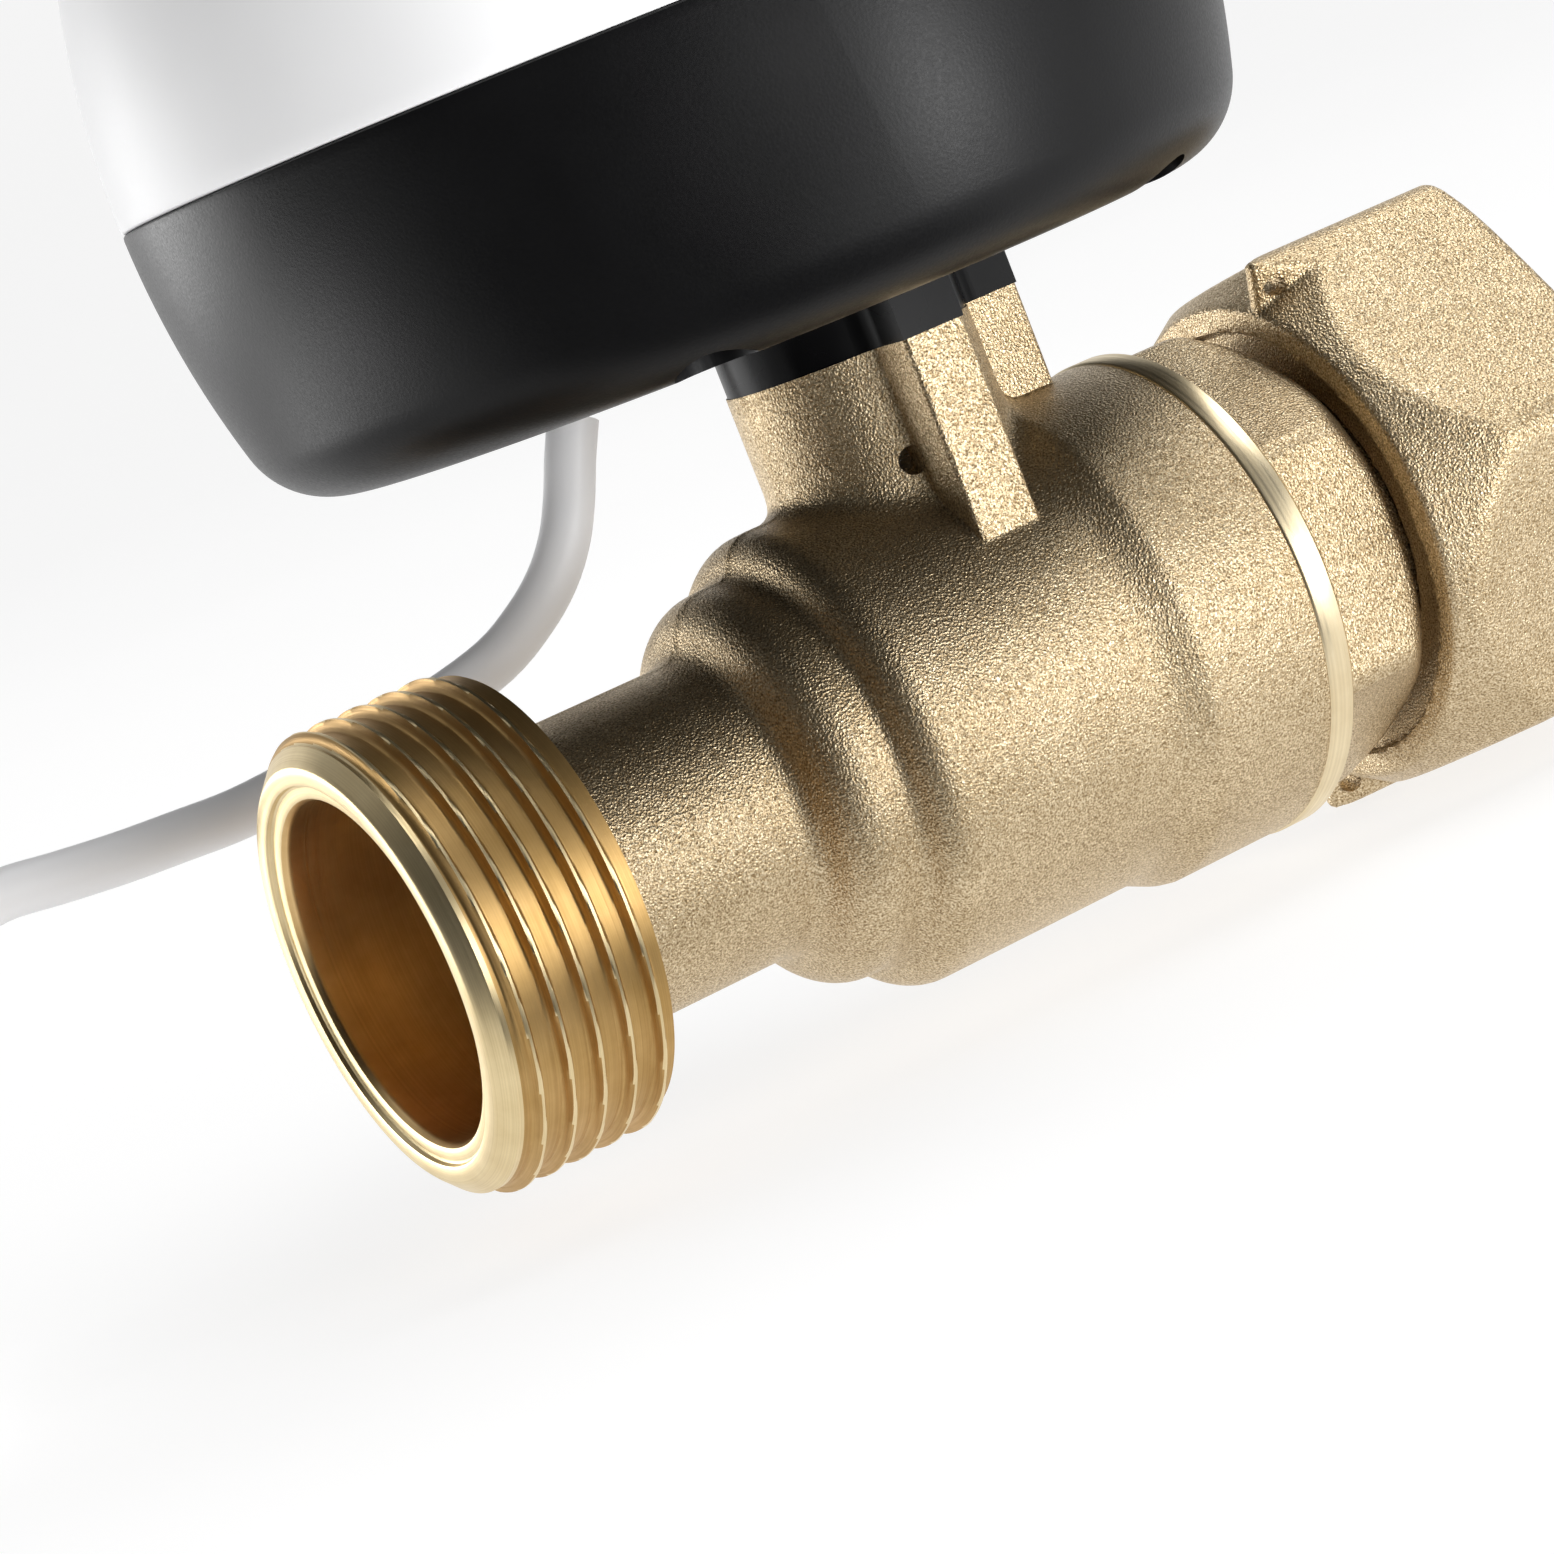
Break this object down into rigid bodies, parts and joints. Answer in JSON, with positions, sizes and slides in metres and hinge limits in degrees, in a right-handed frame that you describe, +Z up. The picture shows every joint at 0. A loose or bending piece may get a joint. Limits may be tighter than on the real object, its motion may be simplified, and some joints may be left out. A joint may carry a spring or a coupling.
{
  "type": "motorised water valve",
  "caption": "Motorised in-line ball valve: cast brass body with male pipe thread, swivel union nut, and a round black and white actuator with its cable.",
  "frame": {"origin": "centre of the mouth on the end face of the male thread", "axes": "+X along the pipe from the male thread to the union nut, +Z up along the valve stem to the actuator"},
  "size_m": [0.1757, 0.1017, 0.0995],
  "materials": {
    "cast_brass": "shot-blasted casting with machined thread and bores",
    "turned_brass": "turned",
    "chromed_ball": "polished",
    "steel": "bright zinc",
    "seat_plastic": "plain white seat plastic",
    "seal_rubber": "smooth",
    "black_plastic": "fine moulded texture",
    "white_plastic": "satin",
    "gear_plastic": "natural",
    "dark_plastic": "plain",
    "board_laminate": "solder mask",
    "component_metal": "tinned",
    "cable_jacket": "satin"
  },
  "bodies": {
    "valve": {"valve_body": "cast_brass", "tail_piece": "cast_brass", "clamp_nut": "turned_brass", "nut_snap_ring": "steel", "housing_screws": "steel", "gear_axle": "steel", "gear_motor": "steel", "plate_screws": "steel", "seat_outlet": "seat_plastic", "seat_inlet": "seat_plastic", "thrust_washer": "seat_plastic", "tail_oring": "seal_rubber", "union_gasket": "seal_rubber", "shaft_seal": "seal_rubber", "shell_gasket": "seal_rubber", "neck_collar": "black_plastic", "base_housing": "black_plastic", "gear_plate": "black_plastic", "cable_grommet": "black_plastic", "coil_tie": "black_plastic", "cable_connector": "black_plastic", "upper_shell": "white_plastic", "limit_switches": "dark_plastic", "circuit_board": "board_laminate", "board_components": "component_metal", "cable_lead": "cable_jacket", "cable_coil": "cable_jacket"},
    "rotor": {"ball": "chromed_ball", "valve_stem": "steel", "stem_orings": "seal_rubber", "drive_coupling": "gear_plastic", "output_gear": "gear_plastic", "position_cam": "gear_plastic"},
    "nut": {"union_nut": "cast_brass"},
    "idler": {"idler_gear": "gear_plastic"},
    "pinion": {"motor_pinion": "turned_brass"}
  },
  "joints": [
    {"name": "nut_spin", "type": "hinge", "parent": "valve", "child": "nut", "pos_m": [0.0863, 0, 0], "axis": [1, 0, 0], "continuous": true},
    {"name": "stem_turn", "type": "hinge", "parent": "valve", "child": "rotor", "pos_m": [0.04935, 0, 0], "axis": [0, 0, 1], "range_deg": [0, 90]},
    {"name": "idler_spin", "type": "hinge", "parent": "valve", "child": "idler", "pos_m": [0.02535, 0, 0.04], "axis": [0, 0, 1], "range_deg": [-360, 0]},
    {"name": "motor_spin", "type": "hinge", "parent": "valve", "child": "pinion", "pos_m": [0.03285, 0.01299, 0.044], "axis": [0, 0, 1], "range_deg": [0, 990]}
  ],
  "couplings": [
    {"joint": "idler_spin", "follows": "stem_turn", "ratio": -4},
    {"joint": "motor_spin", "follows": "stem_turn", "ratio": 11}
  ]
}
